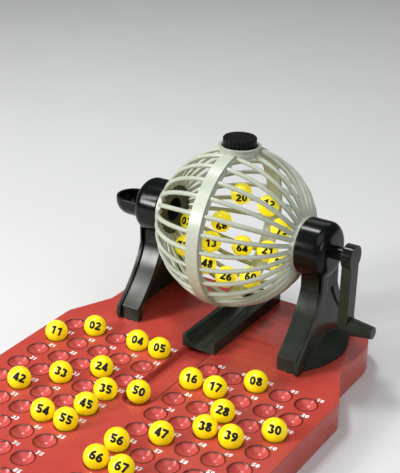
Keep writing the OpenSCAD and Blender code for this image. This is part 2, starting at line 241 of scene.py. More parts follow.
@dataclass(frozen=True)
class MouldedPlastic:
    """Injection-moulded plastic: mottled pigment, a faint mould grain, hairline scuffs, and paler edges, partly
    from handling and partly a painted highlight.

    Attributes:
        name: Name of the material.
        colour: Pigment of the body.
        deep: Pigment where the melt flowed thicker.
        worn_and_highlit: Colour of the edges: handling's polish and a painted highlight.
        gloss: Roughness where the mould was smoothest and roughest.
        coat: Share of the clear skin that such plastic has.
        grain: Depth of the mould grain, in millimetres.
        grain_size: Width of its dimples, in millimetres.
        edge: Radius of the mould's edges, in millimetres.
        wear_and_highlight: Strength of the paler edges, handling's polish and painted highlight together.
        subsurface_and_painted_glow: Share of light that travels below the surface, and strength of the painted
            light that the surface gives off though it is no lamp.
        ior: Index of refraction, which sets how much a surface mirrors.
        sizes: Width of flow marks, pigment flecks, patches of one gloss and scuffs, in millimetres.
        scuff_stretch: How much finer the scuffs are along each axis.
        scuff_rough: Roughness that a scuff adds.
        coat_rough: Roughness of the clear skin.
        glow_depth: How far light travels below the surface, in millimetres.
        glow_shares: Factors on that depth, by colour.
    """

    name: str
    colour: Colour
    deep: Colour
    worn_and_highlit: Colour
    gloss: Pair = (0.22, 0.34)
    coat: float = 0.25
    grain: float = 0.01
    grain_size: float = 0.7
    edge: float = 0.5
    wear_and_highlight: float = 0.35
    subsurface_and_painted_glow: float = 0.0
    ior: float = 1.46
    sizes: tuple[float, ...] = (38.0, 2.2, 11.0, 3.0)
    scuff_stretch: Triple = (1.0, 7.0, 1.0)
    scuff_rough: float = 0.06
    coat_rough: float = 0.12
    glow_depth: float = 3.0
    glow_shares: Triple = (1.0, 0.45, 0.1)

    def marks(self, sheet: NodeSheet) -> Marks:
        """Masks and colours of the marks that a kind of piece has; plain pieces have none."""
        return []

    def material(self) -> Material:
        """Builds the node material.

        Returns:
            The new material.
        """
        sheet = NodeSheet(self.name)
        flow_size, fleck_size, patch_size, scuff_size = self.sizes
        flow = sheet.spread(sheet.noise(flow_size, detail=2), (0.35, 0.65), WHOLE)
        flecks = sheet.noise(fleck_size, detail=4)
        mottle = sheet.calc("MULTIPLY", flow, sheet.spread(flecks, NOISE_SPAN, (0.5, 1.0)))
        pigment = sheet.blend(mottle, self.colour, self.deep)
        for mask, colour in self.marks(sheet):
            pigment = sheet.blend(mask, pigment, colour)
        patchy = sheet.spread(flecks, (0.35, 0.6), (0.2, self.wear_and_highlight))
        # paler edges: partly handling's polish, partly a painted highlight
        rubbed_and_highlit = sheet.calc("MULTIPLY", sheet.edges(self.edge * 1.4, gain=0.3), patchy)
        scuffs = sheet.spread(sheet.noise(scuff_size, detail=6, stretch=self.scuff_stretch), (0.62, 0.72), WHOLE)
        rough = sheet.spread(sheet.noise(patch_size, detail=3), NOISE_SPAN, self.gloss)
        dimples = sheet.noise(self.grain_size, detail=2)
        sheet.shade({
            "Base Color": sheet.blend(rubbed_and_highlit, pigment, self.worn_and_highlit),
            "Roughness": sheet.calc("ADD", rough, sheet.calc("MULTIPLY", scuffs, self.scuff_rough)),
            "Normal": sheet.bumped(dimples, self.grain, sheet.rounded(self.edge)),
            "IOR": self.ior,
            "Coat Weight": self.coat,
            "Coat Roughness": self.coat_rough,
        })
        # painted light: the emission makes the surface shine though it is no lamp
        if self.subsurface_and_painted_glow:
            sheet.shade({
                "Subsurface Weight": self.subsurface_and_painted_glow,
                "Subsurface Radius": self.glow_shares,
                "Subsurface Scale": self.glow_depth * MM,
                "Emission Color": self.colour,
                "Emission Strength": self.subsurface_and_painted_glow,
            })
        return sheet.material


@dataclass(frozen=True)
class PittedPlastic(MouldedPlastic):
    """Plastic of the board, with painted shade and painted light: dark lines round the pits and the channel, and
    paler pits.

    Attributes:
        grid: The board's rows and columns of pits.
        first_row: Place of the first row along Y, in metres.
        line: Colour of the painted shade lines.
        shade_line_width: Half the width of a pit's line, in millimetres.
        shade_line_shift: How far outside the rim that line lies, as a share of its half width.
        shade_line_core: Share of a line's half width that is darkest, and the share of its colour there.
        bowl: Colour of the painted light inside a pit.
        bowl_light_core: Share of the rim's radius from which that colour fades, and the share of it inside of
            that.
        channel: Half the channel's width, and how far it runs before and behind the first row, in millimetres.
        channel_shade_line: Width of the channel's line, as a share of a pit's.
    """

    grid: PitGrid = PitGrid()
    first_row: float = 0.0
    # painted shade: colour of the dark lines round the pits and the channel
    line: Colour = (0.055, 0.006, 0.004)
    shade_line_width: float = 0.90
    shade_line_shift: float = 0.3
    shade_line_core: Pair = (0.4, 0.95)
    # painted light: the pits' paler colour
    bowl: Colour = (0.54, 0.072, 0.064)
    bowl_light_core: Pair = (0.8, 0.8)
    channel: Triple = (10.5, 56.0, 24.0)
    channel_shade_line: float = 0.7

    def drawn(self, sheet: NodeSheet, away: NodeSocket, at: float, width: float) -> NodeSocket:
        """Mask of a soft line of a given half width, where a distance has a given value, all in metres."""
        off = sheet.calc("ABSOLUTE", sheet.calc("SUBTRACT", away, at))
        return sheet.spread(off, (self.shade_line_core[0] * width, width), (self.shade_line_core[1], 0.0))

    def marks(self, sheet: NodeSheet) -> Marks:
        """Painted light in the bowls, and painted shade lines.

        The grid folds the board onto one pit: across, the distance from the middle less half the gap, and along,
        the distance in front of the first row, each taken modulo the pitch and less half of it. The length of
        the two is the distance from the nearest pit's middle. The channel's line is where the distance from its
        middle line, which ends at the stop, is just over half the channel's width.

        Args:
            sheet: The material's node tree.

        Returns:
            Masks and colours of the painted light in the bowls and of the painted shade lines.
        """
        x, y = sheet.place("X"), sheet.place("Y")
        dx, dy = (pitch * MM for pitch in self.grid.pitch)
        across = sheet.calc("SUBTRACT", sheet.calc("ABSOLUTE", x), self.grid.middle_gap / 2 * MM)
        along = sheet.calc("SUBTRACT", self.first_row + dy / 2, y)
        inside, folded = 1.0, []
        for place, pitch, count in ((across, dx, self.grid.columns / 2), (along, dy, self.grid.rows)):
            folded.append(sheet.calc("SUBTRACT", sheet.calc("FLOORED_MODULO", place, pitch), pitch / 2))
            inside = sheet.calc("MULTIPLY", inside, sheet.calc("GREATER_THAN", place, 0.0))
            inside = sheet.calc("MULTIPLY", inside, sheet.calc("LESS_THAN", place, pitch * count))
        away = sheet.length(*folded)
        rim, width = self.grid.rim * MM, self.shade_line_width * MM
        # painted light: each pit is paler than the board
        bowl = sheet.spread(away, (rim * self.bowl_light_core[0], rim), (self.bowl_light_core[1], 0.0))
        # painted shade: a dark line just outside each pit's rim
        line = self.drawn(sheet, away, rim + self.shade_line_shift * width, width)

        half, stop, behind = (length * MM for length in self.channel)
        front = sheet.calc("MAXIMUM", sheet.calc("SUBTRACT", self.first_row - stop, y), 0.0)
        width *= self.channel_shade_line
        # painted shade: a dark line along each edge of the channel
        edge = self.drawn(sheet, sheet.length(x, front), half + width, width)
        before = sheet.calc("LESS_THAN", y, self.first_row + behind)
        lines = sheet.calc("MAXIMUM", sheet.calc("MULTIPLY", inside, line), sheet.calc("MULTIPLY", before, edge))
        return [(sheet.calc("MULTIPLY", inside, bowl), self.bowl), (lines, self.line)]


@dataclass(frozen=True)
class ScuffedSheenPlastic(MouldedPlastic):
    """Plastic that is greyer from a height downwards: handling scuffs, and a painted sheen.

    Attributes:
        scuffed_and_sheen: Colour of the grey skin: scuffs, and a painted sheen.
        above: Height above which it keeps its own colour, in millimetres.
        below: Height below which it is grey all over, in millimetres.
        haze_size: Width of the clouds of scuffs and painted sheen, in millimetres.
    """

    # painted sheen with scuffs: the greyer colour lower down
    scuffed_and_sheen: Colour = (0.030, 0.036, 0.028)
    above: float = 84.0
    below: float = 66.0
    haze_size: float = 14.0

    def marks(self, sheet: NodeSheet) -> Marks:
        """Scuffs and a painted sheen: their share grows as the height falls, and cloudy noise breaks it up.

        Args:
            sheet: The material's node tree.

        Returns:
            Mask and colour of the scuffs and painted sheen.
        """
        # painted sheen with scuffs: greyer towards the bottom
        low = sheet.spread(sheet.place("Z"), (self.below * MM, self.above * MM), (1.0, 0.0))
        cloudy = sheet.spread(sheet.noise(self.haze_size, detail=4), NOISE_SPAN, (0.6, 1.0))
        return [(sheet.calc("MULTIPLY", low, cloudy), self.scuffed_and_sheen)]


@dataclass(frozen=True)
class HubShadedPlastic(MouldedPlastic):
    """Plastic of the cage's halves, with painted shade: a dark disc round each hub stands in for the shade inside
    the cage.

    Attributes:
        axle: Place of the axle along Y and Z, in metres.
        hub_shade: Colour of the painted shade.
        hub_shade_r: Radii between which the painted shade's edge fades, in millimetres.
    """

    axle: Pair = (0.0, 0.0)
    # painted shade: the dark colour round the hubs
    hub_shade: Colour = (0.012, 0.014, 0.012)
    hub_shade_r: Pair = (19.1, 19.4)

    def marks(self, sheet: NodeSheet) -> Marks:
        """Painted shade: all that is nearer to the axle than its radius."""
        # painted shade: dark round the axle, where the cage's inside lies in shade
        away = sheet.length(*(sheet.calc("SUBTRACT", sheet.place(axis), at) for axis, at in zip("YZ", self.axle)))
        return [(sheet.spread(away, (self.hub_shade_r[0] * MM, self.hub_shade_r[1] * MM), (1.0, 0.0)), self.hub_shade)]


@dataclass(frozen=True)
class PrintedInk:
    """Pad-printed ink: a thin even film with pinholes and a slightly uneven shine.

    Attributes:
        name: Name of the material.
        colour: Colour of the ink.
        thin: Colour where the film is thin.
        roughness: Mean roughness of the film.
        uneven: How far the roughness strays from the mean.
        ior: Index of refraction of the film.
        grain: Depth of the film's grain, in millimetres.
        sizes: Width of the pinholes, of the patches of one roughness and of the grain, in millimetres.
    """

    name: str
    colour: Colour
    thin: Colour
    roughness: float
    uneven: float = 0.08
    ior: float = 1.35
    grain: float = 0.004
    sizes: Triple = (0.5, 1.5, 0.3)

    def material(self) -> Material:
        """Builds the node material.

        Returns:
            The new material.
        """
        sheet = NodeSheet(self.name)
        pinhole, patch, dimple = self.sizes
        film = sheet.spread(sheet.noise(pinhole, detail=3), (0.62, 0.75), (0.0, 0.7))
        span = (self.roughness - self.uneven, self.roughness + self.uneven)
        sheet.shade({
            "Base Color": sheet.blend(film, self.colour, self.thin),
            "Roughness": sheet.spread(sheet.noise(patch, detail=2), NOISE_SPAN, span),
            "IOR": self.ior,
            "Normal": sheet.bumped(sheet.noise(dimple, detail=2), self.grain),
        })
        return sheet.material


@dataclass(frozen=True)
class FloorPaint:
    """Matt paint of the studio's floor, with wide faint clouds.

    Attributes:
        colour: Its colour.
        shade: Factor on the colour in the darker clouds.
        gloss: Roughness where it is smoothest and roughest.
        sizes: Width of the clouds and of the patches of one roughness, in millimetres.
    """

    colour: Colour = (0.70, 0.71, 0.71)
    shade: float = 0.97
    gloss: Pair = (0.55, 0.65)
    sizes: Pair = (600.0, 90.0)

    def material(self) -> Material:
        """Builds the node material.

        Returns:
            The new material.
        """
        sheet = NodeSheet("floor_paint")
        cloud, patch = self.sizes
        darker = tuple(self.shade * share for share in self.colour)
        sheet.shade({
            "Base Color": sheet.blend(sheet.noise(cloud, detail=2), self.colour, darker),
            "Roughness": sheet.spread(sheet.noise(patch, detail=3), NOISE_SPAN, self.gloss),
        })
        return sheet.material


# the board, with painted shade lines round the pits and the channel, and painted light in the pits
CRIMSON = PittedPlastic(
    "crimson_plastic", colour=(0.50, 0.062, 0.045), deep=(0.445, 0.050, 0.037), worn_and_highlit=(0.62, 0.15, 0.11),
    gloss=(0.24, 0.34), coat=0.10, grain=0.006, grain_size=0.9, edge=1.2, wear_and_highlight=0.35, ior=1.40,
)
GLOSS_BLACK = MouldedPlastic(
    "black_plastic", colour=(0.0030, 0.0042, 0.0034), deep=(0.0045, 0.0060, 0.0050), worn_and_highlit=(0.020, 0.024, 0.021),
    gloss=(0.14, 0.20), coat=0.0, grain=0.003, grain_size=1.1, edge=0.7, wear_and_highlight=0.3, ior=1.22,
)
# painted highlight: these edges are paler than handling alone would leave them
HANDLED_PAINTED_LIGHT_BLACK = ScuffedSheenPlastic(
    "handled_painted_light_black_plastic", colour=GLOSS_BLACK.colour, deep=GLOSS_BLACK.deep, worn_and_highlit=(0.060, 0.070, 0.060),
    gloss=(0.14, 0.22), coat=0.0, grain=0.003, grain_size=1.1, edge=0.9, wear_and_highlight=0.5, ior=1.27,
)
# painted sheen with scuffs: the crank is greyer from a greater height down
CRANK_BLACK = replace(HANDLED_PAINTED_LIGHT_BLACK, name="crank_black_plastic", above=107.0, below=95.0)
# the cage's grey, with painted shade round the hubs
WARM_GREY = HubShadedPlastic(
    "grey_plastic", colour=(0.445, 0.49, 0.40), deep=(0.39, 0.43, 0.35), worn_and_highlit=(0.60, 0.635, 0.55),
    gloss=(0.30, 0.42), coat=0.10, grain=0.008, grain_size=0.8, edge=0.6, wear_and_highlight=0.3,
)
# painted light: the balls give off a little light of their own
BALL_YELLOW = MouldedPlastic(
    "yellow_plastic", colour=(1.0, 0.83, 0.004), deep=(1.0, 0.76, 0.003), worn_and_highlit=(1.0, 0.86, 0.05),
    gloss=(0.26, 0.36), coat=0.2, grain=0.004, grain_size=0.6, edge=0.3, wear_and_highlight=0.2, subsurface_and_painted_glow=0.12,
)
# painted light: a brighter copy of the yellow, giving off more light, for the balls in the cage, which lie in its
# shade
LIT_CAGE_BALL_YELLOW = replace(BALL_YELLOW, name="tumbled_yellow_plastic", colour=(1.0, 0.87, 0.03), subsurface_and_painted_glow=0.30)
BALL_INK = PrintedInk("black_ink", colour=(0.004, 0.004, 0.004), thin=(0.03, 0.025, 0.01), roughness=0.55)
BOARD_INK = PrintedInk("white_ink", colour=(0.92, 0.91, 0.90), thin=(0.86, 0.60, 0.58), roughness=0.5)


@dataclass(frozen=True)
class Stroke:
    """Centre line of one pen stroke, in shares of a numeral's height or, once it is laid out, in metres.

    Attributes:
        points: Points along the stroke, one row each.
        closed: Whether the stroke runs back into its start.
    """

    points: Array
    closed: bool = False


@dataclass(frozen=True)
class Numerals:
    """Upright bold numerals drawn with a pen of one width.

    Attributes:
        height: Height of a numeral, in metres.
        width: Width, as a share of the height.
        pen: Width of the pen, as a share of the height.
        gap: Gap between two numerals, as a share of the height.
        steps: Points on a half turn of the pen.
        straight: Parts that each straight line is cut into, so that it can follow a curved surface.
    """

    height: float
    width: float = 0.70
    pen: float = 0.225
    gap: float = 0.07
    steps: int = 12
    straight: int = 1

    def arc(self, centre: Pair, radii: Pair, start: float, end: float) -> Array:
        """Points on an ellipse: centre plus radii times the cosine and sine of an angle that runs evenly.

        Args:
            centre: Middle of the ellipse.
            radii: Half its width and height.
            start: First angle, in degrees from +X.
            end: Last angle.

        Returns:
            One row for each point.
        """
        count = max(3, round(self.steps * abs(end - start) / 180) + 1)
        angle = np.radians(np.linspace(start, end, count))
        return np.stack([centre[0] + radii[0] * np.cos(angle), centre[1] + radii[1] * np.sin(angle)], axis=1)

    def loop(self, centre: Pair, radii: Pair) -> Stroke:
        """A whole ellipse as a closed stroke."""
        return Stroke(self.arc(centre, radii, 90, -270)[:-1], True)

    def strokes(self, digit: int) -> list[Stroke]:
        """Pen strokes of one digit in a box that is width wide and 1 high.

        Args:
            digit: From 0 to 9.

        Returns:
            The strokes.
        """
        h, w = self.pen / 2, self.width
        mid = w / 2

        def line(start: Pair, end: Pair) -> Stroke:
            """A straight stroke: its points run evenly from start to end."""
            return Stroke(np.linspace(start, end, self.straight + 1))

        if digit == 0:
            return [self.loop((mid, 0.5), (mid - h, 0.5 - h))]
        if digit == 1:
            stem = mid + 0.09
            return [line((stem, 0), (stem, 1)), line((0.08, 0.70), (stem, 1 - 0.8 * h))]
        if digit == 2:
            bow = self.arc((mid, 0.70), (mid - h, 0.30 - h), 175, -38)
            tail = np.linspace(bow[-1], (h * 0.9, h), self.straight + 1)
            return [Stroke(np.vstack([bow, tail[1:]])), line((0, h), (w, h))]
        if digit == 3:
            return [Stroke(self.arc((mid - 0.03, 0.745), (mid - h, 0.255 - h), 160, -85)),
                    Stroke(self.arc((mid - 0.03, 0.290), (mid + 0.02 - h, 0.290 - h), 88, -160))]
        if digit == 4:
            stem = 0.70 * w
            return [line((stem, 0), (stem, 1)), line((stem, 1 - 0.5 * h), (0.8 * h, 0.27)),
                    line((0, 0.27), (w, 0.27))]
        if digit == 5:
            side = 0.06 + h
            return [line((0.06, 1 - h), (w - 0.05, 1 - h)), line((side, 1 - h), (side - 0.01, 0.50)),
                    Stroke(self.arc((mid - 0.01, 0.33), (mid - h, 0.33 - h), 142, -158))]
        if digit == 6:
            return [self.loop((mid, 0.32), (mid - h, 0.32 - h)),
                    Stroke(self.arc((mid + 0.20, 0.32), (mid + 0.20 - h, 0.68 - h), 180, 88))]
        if digit == 7:
            return [line((0, 1 - h), (w, 1 - h)), line((w - h, 1 - h), (0.30 * w, 0))]
        if digit == 8:
            return [self.loop((mid, 0.745), (mid - h - 0.03, 0.255 - h)),
                    self.loop((mid, 0.290), (mid - h, 0.290 - h))]
        return [Stroke(np.array([w, 1.0]) - s.points, s.closed) for s in self.strokes(6)]

    def lay_out(self, text: str) -> list[Stroke]:
        """Strokes of a whole number, centred on the origin and in metres.

        Args:
            text: The digits.

        Returns:
            The strokes of all digits.
        """
        pitch = self.width + self.gap
        start = np.array([-(len(text) * pitch - self.gap) / 2, -0.5])
        return [
            Stroke((s.points + start + [i * pitch, 0]) * self.height, s.closed)
            for i, digit in enumerate(text) for s in self.strokes(int(digit))
        ]


def linked(name: str, data: ID) -> Object:
    """Makes an object at the origin and links it into the scene.

    Args:
        name: Name of the object.
        data: Its mesh, light or camera.

    Returns:
        The new object.
    """
    made = bpy.data.objects.new(name, data)
    bpy.context.scene.collection.objects.link(made)
    return made


class SweptMesh:
    """Mesh of closed shells, each a closed section that is carried along a path."""

    def __init__(self) -> None:
        """Starts with no shells."""
        self._points: list[Array] = []
        self._faces: list[list[int]] = []
        self._count = 0

    def sweep(self, points: Array, ring: bool = False) -> None:
        """Adds one shell: quads between neighbouring sections, and a cap on each end of an open path.

        Args:
            points: Corners in space, by place along the path, then round the section, anticlockwise as the path
                sees it.
            ring: Whether the path runs back into its start.
        """
        rows, cols = points.shape[:2]
        i, j = np.meshgrid(np.arange(rows if ring else rows - 1), np.arange(cols), indexing="ij")
        i2, j2 = (i + 1) % rows, (j + 1) % cols
        quads = np.stack([i * cols + j, i2 * cols + j, i2 * cols + j2, i * cols + j2], axis=-1).reshape(-1, 4)
        self._faces += (quads + self._count).tolist()
        if not ring:
            cap = np.arange(cols) + self._count
            self._faces += [cap.tolist(), (cap[::-1] + (rows - 1) * cols).tolist()]
        self._points.append(points.reshape(-1, 3))
        self._count += rows * cols

    def piece(self, name: str, material: Material, body: Body) -> Object:
        """Makes the object and lets it ride on a body.

        Args:
            name: Name of the piece.
            material: Its finish.
            body: The body that it moves with.

        Returns:
            The new object.
        """
        mesh = bpy.data.meshes.new(name)
        mesh.from_pydata(np.vstack(self._points).tolist(), [], self._faces)
        mesh.validate()
        mesh.materials.append(material)
        made = linked(name, mesh)
        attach(made, body.value)
        LOG.info("%s: %d faces, rides on %s", name, len(mesh.polygons), body.value)
        return made


class InkMesh(SweptMesh):
    """Raised ink: each pen stroke is a flat bar whose section is carried along the stroke's line."""

    def write(self, text: str, numerals: Numerals, film: Pair, place: Mapping) -> None:
        """Adds the strokes of a number.

        The section has five corners: the right foot, the right shoulder, the crown, the left shoulder and the
        left foot. Each corner is the line's point plus its offset times the line's left-hand normal, at its
        height over the printed surface. The mapping then lays offset and height onto that surface.

        Args:
            text: The digits.
            numerals: Their form and size.
            film: Height of a bar's foot and of its top over the surface.
            place: Turns plane coordinates and a height into points in space.
        """
        offset = np.array([-1, -1, 0, 1, 1]) * (numerals.pen * numerals.height) / 2
        height = np.array([film[0], film[1], film[1], film[1], film[0]])
        for stroke in numerals.lay_out(text):
            line = stroke.points
            if stroke.closed:
                step = np.roll(line, -1, axis=0) - np.roll(line, 1, axis=0)
            else:
                step = np.gradient(line, axis=0)
            along = step / np.linalg.norm(step, axis=1, keepdims=True)
            left = np.stack([-along[:, 1], along[:, 0]], axis=1)
            plane = line[:, None, :] + offset[None, :, None] * left[:, None, :]
            points = place(plane[..., 0], plane[..., 1], np.broadcast_to(height, plane.shape[:2]))
            self.sweep(points, stroke.closed)


def joint_place(name: str) -> tuple[float, ...]:
    """Place of one of the record's joints along X, Y and Z at rest, in metres."""
    joints = frame["record"]["behaviour"]["joints"]
    return next(tuple(joint["pos_m"]) for joint in joints if joint["name"] == name)


def dress(nodes: Iterable[str], material: Material) -> None:
    """Gives CAD nodes a finish.

    Args:
        nodes: Names of the nodes.
        material: Their new material.
    """
    for name in nodes:
        mesh = frame["nodes"][name].data
        mesh.materials.clear()
        mesh.materials.append(material)
        LOG.info("%s: %s", name, material.name)


@dataclass
class BallBoard:
    """Red board with its pits, and the chute on it. Adds the white numbers beside the pits.

    Attributes:
        grid: Where the pits are.
        label_at: Place of a number's middle from its pit's middle, in millimetres.
        numerals: The white numerals.
        film: Height of the ink's foot and top over the board, in metres.
    """

    grid: PitGrid = PitGrid()
    label_at: Pair = (5.9, 9.6)
    numerals: Numerals = Numerals(3.8 * MM, width=0.66, pen=0.25, gap=0.10, steps=5)
    film: Pair = (-0.02 * MM, 0.05 * MM)

    def build(self) -> None:
        """Dresses the board and chute, and prints the numbers. Ball 2 lies in the first row of pits."""
        low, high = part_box("ball_02")
        first_row = (low.y + high.y) / 2
        dress(["board"], replace(CRIMSON, grid=self.grid, first_row=first_row).material())
        dress(["chute"], HANDLED_PAINTED_LIGHT_BLACK.material())
        corner = np.array([*self.label_at, 0.0]) * MM + (0, first_row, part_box("board")[1].z)
        ink = InkMesh()
        for number in range(1, self.grid.columns * self.grid.rows + 1):
            middle = corner + self.grid.place(number)

            def on_board(u: Array, v: Array, height: Array, at: Array = middle) -> Array:
                """Flat print: the point is the label's middle plus the three offsets."""
                return np.stack([u, v, height], axis=-1) + at

            ink.write(f"{number:02d}", self.numerals, self.film, on_board)
        ink.piece("pit_numbers", BOARD_INK.material(), Body.BASE)


@dataclass(frozen=True)
class StandSteps:
    """Points on the curves of a stand: up a toe and a leg, over the dome, round the head and the outrigger."""

    toe: int = 9
    leg: int = 33
    dome: int = 13
    head: int = 96
    rigger: int = 49


@dataclass
class Stands:
    """Black stands that carry the cage, with the outlet cup on the left one.

    Each stand is made anew over its solid, with the hollow-curved legs, the rim along their outer edge and the
    domed head. All is laid out as the right stand, in millimetres: heights from the board's top, widths from the
    head's inner face outwards.

    Attributes:
        head: Radius and length of the round head, and the radius of its dome's edge.
        bore: Radius and depth of the bore for the cage's journal, and the wall between it and the legs' tops.
        passage: Radius of the hole in the left and the right head's end.
        foot: Half the stand's length at its feet, and how far the toes stand out.
        toe_h: Height of the toes.
        neck: Half the width of the neck, and how far it reaches below the head.
        sag: How far the legs' fronts curve in.
        legs: Where the legs begin and where the web's outer face is.
        leg_t: Thickness of the legs.
        rim: How far the web's edge stands out beyond the legs.
        web: Thickness of the web's rim and of the panel inside it.
        rigger: Radius of the outrigger's edge, its height there and its height at the web.
        bevel: Width and height of the bevel along the outrigger's edge.
        sharp: Angle from which an edge is shown sharp, in degrees.
        steps: Points on its curves.
    """

    head: Triple = (21.0, 22.0, 8.0)
    bore: Triple = (12.56, 19.0, 2.0)
    passage: Pair = (9.4, 5.06)
    foot: Pair = (44.0, 2.0)
    toe_h: float = 11.0
    neck: Pair = (12.0, 8.0)
    sag: float = 3.3
    legs: Pair = (1.5, 20.0)
    leg_t: float = 4.6
    rim: float = 1.4
    web: Pair = (3.0, 1.6)
    rigger: Triple = (55.0, 3.0, 14.0)
    bevel: Pair = (1.0, 0.4)
    sharp: float = 25.0
    steps: StandSteps = StandSteps()

    def lean(self, leg_top: float) -> float:
        """A leg's length over its height, which turns a thickness across it into one along Y."""
        rise = leg_top - self.toe_h
        return math.hypot(self.foot[0] - self.neck[0], rise) / rise

    def half_width(self, z: Array, leg_top: float) -> Array:
        """Half the stand's length at a height.

        Up to the toe it grows by the toe's length and shrinks again; from there to the neck it is the straight
        line between them less a parabola of the sag's depth; above, it is the neck's.

        Args:
            z: Heights over the board.
            leg_top: Height at which the legs meet the neck.

        Returns:
            Half the length at each height.
        """
        foot, toe = self.foot
        share = np.clip((z - self.toe_h) / (leg_top - self.toe_h), 0, 1)
        leg = foot + (self.neck[0] - foot) * share
        bow = 4 * self.sag * self.lean(leg_top) * share * (1 - share)
        nose = toe * np.clip(1 - np.abs(z / self.toe_h * 2 - 1), 0, 1)
        return leg - bow + nose

    @staticmethod
    def bar(x: Pair, inner: Array, outer: Array, z: Array) -> Array:
        """A rectangle between two X and, at each height, an inner and an outer Y, carried up along Z."""
        along = np.stack([inner, outer, outer, inner], axis=1)
        return np.stack(np.broadcast_arrays([x[0], x[0], x[1], x[1]], along, z[:, None]), axis=-1)

    def leg_bars(self, axle_h: float) -> list[Array]:
        """Bars that follow the half width: the panel, the rim and leg on either side, and the plate at the neck.

        Args:
            axle_h: Height of the axle over the board.

        Returns:
            Corners of each bar.
        """
        leg_top = axle_h - self.head[0] - self.neck[1]
        low = np.linspace(0, self.toe_h, self.steps.toe)
        high = np.linspace(self.toe_h, leg_top, self.steps.leg)
        z = np.concatenate([low, high[1:], [axle_h - self.bore[0] - self.bore[2]]])
        wide = self.half_width(z, leg_top)
        plain = np.where(z < self.toe_h, self.foot[0], wide)
        lean = self.lean(leg_top)
        front, back = plain - self.rim * lean, plain - (self.rim + self.leg_t) * lean
        start, end = self.legs
        web, panel = end - self.web[0], end - self.web[0] + self.web[1]
        bars = [self.bar((web, panel), -plain, plain, z)]
        for side in (-1, 1):
            for x, one, two in (((web, end), back, wide), ((start, panel), back, front)):
                inner, outer = (one, two) if side > 0 else (-two, -one)
                bars.append(self.bar(x, inner, outer, z))
        bars.append(self.bar((web, end), -back[-2:], back[-2:], z[-2:]))
        return bars

    def head_ring(self, axle_h: float, passage: float) -> Array:
        """The head: a section of bore, end face, dome and outside, turned about the axle.

        Args:
            axle_h: Height of the axle over the board.
            passage: Radius of the hole in the head's end.

        Returns:
            Corners by angle, then round the section.
        """
        radius, length, dome = self.head
        bore, depth, _ = self.bore
        quarter = np.radians(np.linspace(90, 0, self.steps.dome))
        out = np.concatenate([[0, depth, depth, length], length - dome + dome * np.sin(quarter), [0]])
        away = np.concatenate([[bore, bore, passage, passage], radius - dome + dome * np.cos(quarter), [radius]])
        turn = np.radians(np.linspace(0, 360, self.steps.head, endpoint=False))[:, None]
        across, height = away * np.sin(turn), axle_h + away * np.cos(turn)
        return np.stack(np.broadcast_arrays(out, across, height), axis=-1)

    def outrigger(self, reach: float) -> Array:
        """The outrigger: a section turned about an upright axis and cut by the middle plane of the web.

        Args:
            reach: How far its edge stands from the head's inner face.

        Returns:
            Corners by angle, then round the section.
        """
        edge, edge_h, web_h = self.rigger
        bevel, drop = self.bevel
        middle, plane = reach - edge, self.legs[1] - self.web[0] / 2
        swing = math.acos((plane - middle) / edge)
        turn = np.linspace(-swing, swing, self.steps.rigger)[1:-1]
        start = (plane - middle) / np.cos(turn)
        level, rim = np.zeros_like(start), np.full_like(start, edge)
        foot_h = np.maximum(edge_h, web_h - (start - start.min()))
        away = np.stack([start, rim, rim, np.maximum(start, edge - bevel), start], axis=1)
        rise = np.stack([level, level, level + edge_h - drop, level + edge_h, foot_h], axis=1)
        return np.stack([middle + away * np.cos(turn)[:, None], away * np.sin(turn)[:, None], rise], axis=-1)

    def build(self) -> None:
        """Makes both stands over their solids, and dresses them and the cup."""
        black = HANDLED_PAINTED_LIGHT_BLACK.material()
        axle = joint_place("cage_spin")
        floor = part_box("board")[1].z
        axle_h = (axle[2] - floor) / MM
        for node, side, passage in (("stand_left", -1, self.passage[0]), ("stand_right", 1, self.passage[1])):
            low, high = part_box(node)
            inner, outer = sorted((abs(low.x), abs(high.x)))
            shells = [(bar, False) for bar in self.leg_bars(axle_h)]
            shells += [(self.head_ring(axle_h, passage), True), (self.outrigger((outer - inner) / MM), False)]
            mesh = SweptMesh()
            for points, ring in shells:
                placed = points * MM * (side, 1, 1) + (side * inner, axle[1], floor)
                mesh.sweep(placed if side > 0 else placed[:, ::-1], ring)
            made = mesh.piece(node + "_moulding", black, Body.BASE)
            made.data.shade_smooth()
            made.data.set_sharp_from_angle(angle=math.radians(self.sharp))
            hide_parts(node)
        dress(["outlet_cup"], black)


@dataclass
class TumblingCage:
    """Grey ribbed cage with the band over its seam, and the gate with its black cap."""

    grey: Sequence[str] = ("cage_left", "cage_right", "band", "gate_ring")
    black: Sequence[str] = ("gate_cap",)

    def build(self) -> None:
        """Dresses the nodes."""
        dress(self.grey, replace(WARM_GREY, axle=joint_place("cage_spin")[1:]).material())
        dress(self.black, GLOSS_BLACK.material())


@dataclass
class Crank:
    """Black crank arm with its turning grip."""

    nodes: Sequence[str] = ("crank_arm", "crank_grip")

    def build(self) -> None:
        """Dresses the nodes."""
        dress(self.nodes, CRANK_BLACK.material())


